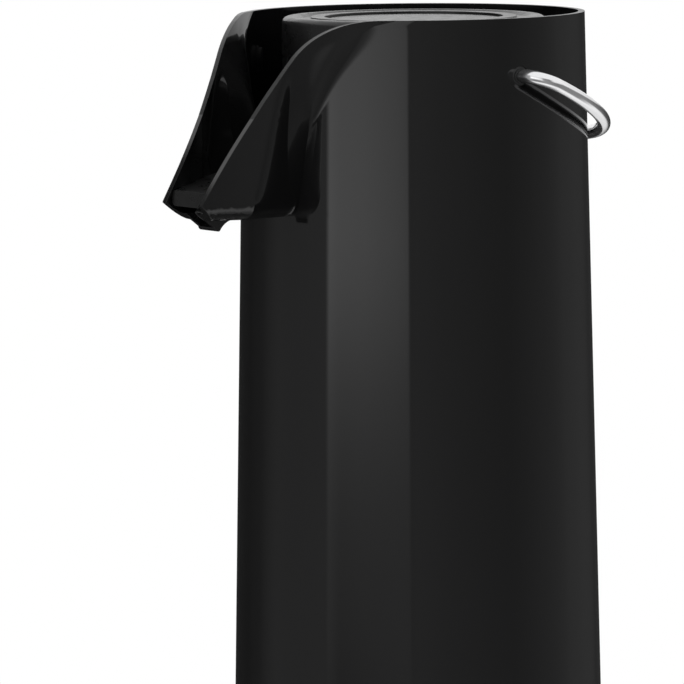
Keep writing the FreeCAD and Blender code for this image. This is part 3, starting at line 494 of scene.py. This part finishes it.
def make_shell_half(name, side):
    """One side of the cone and the beak's wall: a fine outside and inside with a satin upper edge."""
    rows = shell_rows()
    mesh = bmesh.new()
    outside = shell_sheet(mesh, side, rows, 0.0, 0.0)
    inside = shell_sheet(mesh, side, [row for row in rows if row >= CHANNEL_LOW], SHELL_WALL, SPOUT_WALL)
    weave(mesh, outside, side < 0)
    weave(mesh, inside, side > 0)
    tops = [(out[-1], inn[-1]) for out, inn in zip(outside, inside)]
    for (out, inn), (out_next, inn_next) in zip(tops, tops[1:]):
        corners = (out, out_next, inn_next, inn)
        mesh.faces.new(corners if side > 0 else reversed(corners)).material_index = 1
    middle = mesh.verts.new((0, -TIP_CUT * MM, UNDERSIDE * MM))
    under = rows.index(UNDERSIDE)
    corners = (outside[0][under - 1], outside[0][under], middle)
    mesh.faces.new(corners if side < 0 else reversed(corners))
    wall = [vert for column in outside[1:WALL_COLUMNS - CORNER_COLUMNS] for vert in column[under + 1:-1]]
    wall += [vert for column in inside[1:WALL_COLUMNS + INSIDE_COLUMNS] for vert in column[1:-1]]
    axes = {"use_axis_x": True, "use_axis_y": True, "use_axis_z": True}
    for step in range(SMOOTH_STEPS):
        bmesh.ops.smooth_vert(mesh, verts=wall, factor=SMOOTH_SHARE, **axes)
    for edge in mesh.edges:
        edge.smooth = edge.calc_face_angle(0) < SHARP
    piece = new_piece(name, mesh, "shell", "vessel")
    piece.data.materials.append(FINISHES["deck"])
    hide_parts("outer_shell")


def make_shell_tip():
    """The solid's own tip before the cut."""
    mesh = solid_mesh("outer_shell")
    everything = mesh.verts[:] + mesh.edges[:] + mesh.faces[:]
    cut = {"plane_co": (0, -TIP_CUT * MM, 0), "plane_no": (0, 1, 0)}
    bmesh.ops.bisect_plane(mesh, geom=everything, clear_outer=True, **cut)
    join_facets(mesh)
    piece = new_piece("shell_tip", mesh, "shell", "vessel")
    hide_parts("outer_shell")
    soften_edges(piece, TIP_EDGE)


# the deck, in millimetres: only what lies in the beak is drawn in
DECK_GAP = 0.3
DECK_REACH = 45
DECK_LOW = UNDERSIDE + 5
DECK_EDGE = 0.35
HALVINGS = 20


def make_deck():
    """The deck from its solid, drawn in at the sides to where the beak's wall leans in."""
    mesh = solid_mesh("top_deck")
    join_facets(mesh)
    for vert in mesh.verts:
        reach, half, height = -vert.co.y / MM, abs(vert.co.x) / MM, vert.co.z / MM
        if reach < DECK_REACH or reach > TIP_CUT or height < DECK_LOW:
            continue
        radius_at = outline(height, SHELL_WALL + DECK_GAP, SPOUT_WALL + DECK_GAP)[1]
        if math.hypot(reach, half) <= radius_at(math.degrees(math.atan2(half, reach))):
            continue
        low, high = 0.0, half
        for step in range(HALVINGS):
            middle = (low + high) / 2
            if math.hypot(reach, middle) <= radius_at(math.degrees(math.atan2(middle, reach))):
                low = middle
            else:
                high = middle
        vert.co.x = math.copysign(low * MM, vert.co.x)
    piece = new_piece("deck_plate", mesh, "deck", "vessel")
    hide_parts("top_deck")
    soften_edges(piece, DECK_EDGE)


# button, bellows and spring, in millimetres
CROWN_DEPTH = 4.0
CROWN_KEEP = 0.3
BUTTON_EDGE = 0.5
SPRING_EDGE = 0.2


def make_button():
    """The button from its solid, with a flatter and fuller crown."""
    mesh = solid_mesh("push_button")
    join_facets(mesh)
    top = max(vert.co.z for vert in mesh.verts)
    for vert in mesh.verts:
        below = top - vert.co.z
        if below < CROWN_DEPTH * MM:
            vert.co.z = top - below * CROWN_KEEP
    piece = new_piece("button_cap", mesh, "head", "button")
    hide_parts("push_button")
    soften_edges(piece, BUTTON_EDGE)


def make_springing():
    """Bellows and return spring from their solids, smooth shaded, with softened edges, on the pump head's
    body.
    """
    for node, name in (("bellows", "bellows_folds"), ("return_spring", "spring_coil")):
        mesh = solid_mesh(node)
        join_facets(mesh)
        for face in mesh.faces:
            face.smooth = True
        piece = new_piece(name, mesh, SLOTS[node], "pump_head")
        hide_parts(node)
        soften_edges(piece, SPRING_EDGE)
        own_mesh(piece)


def make_camera():
    data = bpy.data.cameras.new("camera")
    data.sensor_width = SENSOR_WIDTH
    data.lens = SENSOR_WIDTH * FOCAL_PIXELS / IMAGE_PIXELS
    camera = bpy.data.objects.new("camera", data)
    bpy.context.scene.collection.objects.link(camera)
    back = Vector((
        math.sin(CAMERA_AZIMUTH) * math.cos(CAMERA_ELEVATION),
        -math.cos(CAMERA_AZIMUTH) * math.cos(CAMERA_ELEVATION),
        math.sin(CAMERA_ELEVATION),
    ))
    right = Vector((math.cos(CAMERA_AZIMUTH), math.sin(CAMERA_AZIMUTH), 0))
    up = back.cross(right)
    target = right * CAMERA_SIDE + Vector((0, 0, CAMERA_HEIGHT))
    rolled_right = right * math.cos(CAMERA_ROLL) + up * math.sin(CAMERA_ROLL)
    rolled_up = up * math.cos(CAMERA_ROLL) - right * math.sin(CAMERA_ROLL)
    turn = Matrix((rolled_right, rolled_up, back)).transposed()
    camera.matrix_world = Matrix.Translation(target + back * CAMERA_DISTANCE) @ turn.to_4x4()
    bpy.context.scene.camera = camera


# studio, in metres
WORLD_LIGHT = 0.75
FLOOR_RADIUS = 0.26
FLOOR_SEGMENTS = 96
FLOOR_LEVEL = 0.86
FLOOR_FADE = (0.12, 0.24)

# the studio screen: its height by degrees round from the camera, to the right above zero
VIEW = math.degrees(CAMERA_AZIMUTH)
RING_RADIUS = 2.2
RING_STEP = 3
RING_LOW = -4.0
RING_HEIGHTS = [(-180, 0.3), (-165, 0.3), (-140, 1.5), (140, 1.5), (165, 0.3), (180, 0.3)]
# its levels, by the same degrees and by height: a window, zones all round, and parts that only the bail shows
WINDOW_ROUND = [
    (-180, 0), (-59.5, 0), (-58.5, 1.2), (-34, 1.05), (-12, 0.75), (-5.5, 0.6), (-4.5, 0), (180, 0),
]
WINDOW_UP = [
    (-4.0, 0), (-0.3, 0), (-0.2, 0.12), (-0.10, 0.19), (-0.04, 0.3), (0.03, 0.52), (0.10, 0.85), (0.15, 1.0),
    (0.6, 0.9), (1.5, 0.5),
]
SIDE_ROUND = [(-180, 0), (30, 0), (50, 1), (165, 1), (180, 0)]
SIDE_UP = [(-4.0, 0), (0.42, 0), (0.55, 0.7), (1.5, 0.8)]
BACK_ROUND = [(-180, 0), (105, 0), (125, 1), (180, 1)]
BACK_UP = [(-4.0, 0), (-2.2, 0), (-1.5, 0.8), (-0.75, 0.8), (-0.4, 0), (1.5, 0)]
GROUND_UP = [(-4.0, 0.8), (-2.2, 0.8), (-1.5, 0), (1.5, 0)]
ZONES_ROUND = [
    (-180, 0.02), (-150, 0.03), (-135, 0.04), (-118, 0.09), (-100, 0.25), (-62, 0.36), (-50, 0.2), (0, 0.32),
    (20, 0.27), (60, 0.2), (84, 0.24), (110, 0.26), (128, 0.18), (150, 0.06), (180, 0.02),
]


def stage_piece(name, mesh):
    piece = new_object(name, mesh)
    return piece


def bare_material(name):
    """A material without its usual shader."""
    material = bpy.data.materials.new(name)
    material.use_nodes = True
    material.node_tree.nodes.remove(material.node_tree.nodes["Principled BSDF"])
    return material


def combined(tree, operation, first, second):
    node = tree.nodes.new("ShaderNodeMath")
    node.operation = operation
    tree.links.new(first, node.inputs[0])
    tree.links.new(second, node.inputs[1])
    return node.outputs[0]


def scaled(tree, value, share):
    node = tree.nodes.new("ShaderNodeMath")
    node.operation = "MULTIPLY"
    node.inputs[1].default_value = share
    tree.links.new(value, node.inputs[0])
    return node.outputs[0]


def plane_distance(tree, spot, normal):
    """How far a place lies along a level direction."""
    along = [scaled(tree, spot.outputs[axis], share) for axis, share in zip("XY", normal)]
    return combined(tree, "ADD", *along)


def levels(tree, value, stops):
    """Straight steps between (place, level) stops."""
    low, high = stops[0][0], stops[-1][0]
    top = max(level for place, level in stops)
    squeeze = tree.nodes.new("ShaderNodeMapRange")
    squeeze.inputs["From Min"].default_value = low
    squeeze.inputs["From Max"].default_value = high
    tree.links.new(value, squeeze.inputs["Value"])
    curve = tree.nodes.new("ShaderNodeFloatCurve")
    tree.links.new(squeeze.outputs["Result"], curve.inputs["Value"])
    points = curve.mapping.curves[0].points
    while len(points) < len(stops):
        points.new(0.5, 0.5)
    for point, (place, level) in zip(points, stops):
        point.location = ((place - low) / (high - low), level / top)
        point.handle_type = "VECTOR"
    curve.mapping.update()
    return scaled(tree, curve.outputs["Value"], top)


def seen_white(tree):
    """1 for rays that come straight from the camera, or by way of a mirror or glass, and 0 for the rest."""
    path = tree.nodes.new("ShaderNodeLightPath")
    total = path.outputs["Is Camera Ray"]
    for name in ("Is Glossy Ray", "Is Transmission Ray"):
        total = combined(tree, "MAXIMUM", total, path.outputs[name])
    return total


def make_world():
    """White to look at, and a soft even light."""
    world = bpy.data.worlds.new("studio")
    bpy.context.scene.world = world
    world.use_nodes = True
    tree = world.node_tree
    background = tree.nodes["Background"]
    background.inputs["Color"].default_value = WHITE
    strength = tree.nodes.new("ShaderNodeMapRange")
    strength.inputs["To Min"].default_value = WORLD_LIGHT
    strength.inputs["To Max"].default_value = 1.0
    tree.links.new(seen_white(tree), strength.inputs["Value"])
    tree.links.new(strength.outputs["Result"], background.inputs["Strength"])


def make_floor():
    """A pale round floor that fades to white away from the object, and out of the object's reflections."""
    mesh = bmesh.new()
    bmesh.ops.create_circle(mesh, cap_ends=True, radius=FLOOR_RADIUS, segments=FLOOR_SEGMENTS)
    floor = stage_piece("floor", mesh)
    material = bare_material("pale_floor")
    tree = material.node_tree
    lit = tree.nodes.new("ShaderNodeBsdfDiffuse")
    lit.inputs["Color"].default_value = grey(FLOOR_LEVEL)
    glow = tree.nodes.new("ShaderNodeEmission")
    glow.inputs["Color"].default_value = WHITE
    clear = tree.nodes.new("ShaderNodeBsdfTransparent")
    length = tree.nodes.new("ShaderNodeVectorMath")
    length.operation = "LENGTH"
    tree.links.new(tree.nodes.new("ShaderNodeTexCoord").outputs["Object"], length.inputs[0])
    fade = tree.nodes.new("ShaderNodeMapRange")
    fade.interpolation_type = "SMOOTHSTEP"
    fade.inputs["From Min"].default_value = FLOOR_FADE[0]
    fade.inputs["From Max"].default_value = FLOOR_FADE[1]
    tree.links.new(length.outputs["Value"], fade.inputs["Value"])
    mirrored = tree.nodes.new("ShaderNodeLightPath").outputs["Is Glossy Ray"]
    surface = lit.outputs[0]
    for rays, shader in ((seen_white(tree), glow), (mirrored, clear)):
        mix = tree.nodes.new("ShaderNodeMixShader")
        tree.links.new(combined(tree, "MULTIPLY", fade.outputs["Result"], rays), mix.inputs[0])
        tree.links.new(surface, mix.inputs[1])
        tree.links.new(shader.outputs[0], mix.inputs[2])
        surface = mix.outputs[0]
    tree.links.new(surface, tree.nodes["Material Output"].inputs["Surface"])
    floor.data.materials.append(material)


def ring_wall():
    """A round wall about the object, whose height changes with the degrees round from the camera."""
    mesh = bmesh.new()
    before = None
    for turn in range(-180, 181, RING_STEP):
        angle = math.radians(VIEW + turn)
        spot = Vector((math.sin(angle), -math.cos(angle), 0)) * RING_RADIUS
        high = float(np.interp(turn, *zip(*RING_HEIGHTS)))
        pair = [mesh.verts.new(spot + Vector((0, 0, height))) for height in (RING_LOW, high)]
        if before:
            mesh.faces.new((before[0], pair[0], pair[1], before[1]))
        before = pair
    return stage_piece("studio_ring", mesh)


def studio_ring():
    """A round screen that only reflections see: dark, with a bright window, soft zones and lighter parts."""
    ring = ring_wall()
    ring.visible_camera = False
    material = bare_material("studio_screen")
    tree = material.node_tree
    spot = tree.nodes.new("ShaderNodeSeparateXYZ")
    tree.links.new(tree.nodes.new("ShaderNodeTexCoord").outputs["Object"], spot.inputs[0])
    ahead = math.radians(VIEW)
    side = plane_distance(tree, spot, (math.cos(ahead), math.sin(ahead)))
    front = plane_distance(tree, spot, (math.sin(ahead), -math.cos(ahead)))
    turn = combined(tree, "ARCTAN2", side, front)

    def by_turn(stops):
        return levels(tree, turn, [(math.radians(place), level) for place, level in stops])

    def by_height(stops):
        return levels(tree, spot.outputs["Z"], stops)

    total = combined(tree, "ADD", by_turn(ZONES_ROUND), by_height(GROUND_UP))
    for around, up in ((WINDOW_ROUND, WINDOW_UP), (SIDE_ROUND, SIDE_UP), (BACK_ROUND, BACK_UP)):
        total = combined(tree, "ADD", total, combined(tree, "MULTIPLY", by_turn(around), by_height(up)))
    glow = tree.nodes.new("ShaderNodeEmission")
    glow.inputs["Color"].default_value = WHITE
    tree.links.new(total, glow.inputs["Strength"])
    tree.links.new(glow.outputs[0], tree.nodes["Material Output"].inputs["Surface"])
    ring.data.materials.append(material)


for node in NODES:
    finish_node(node)
for half_name, half_side in (("shell_left", 1), ("shell_right", -1)):
    make_shell_half(half_name, half_side)
make_shell_tip()
make_deck()
make_button()
make_springing()

make_camera()
make_world()
make_floor()
studio_ring()

bpy.context.scene.view_settings.view_transform = "Standard"
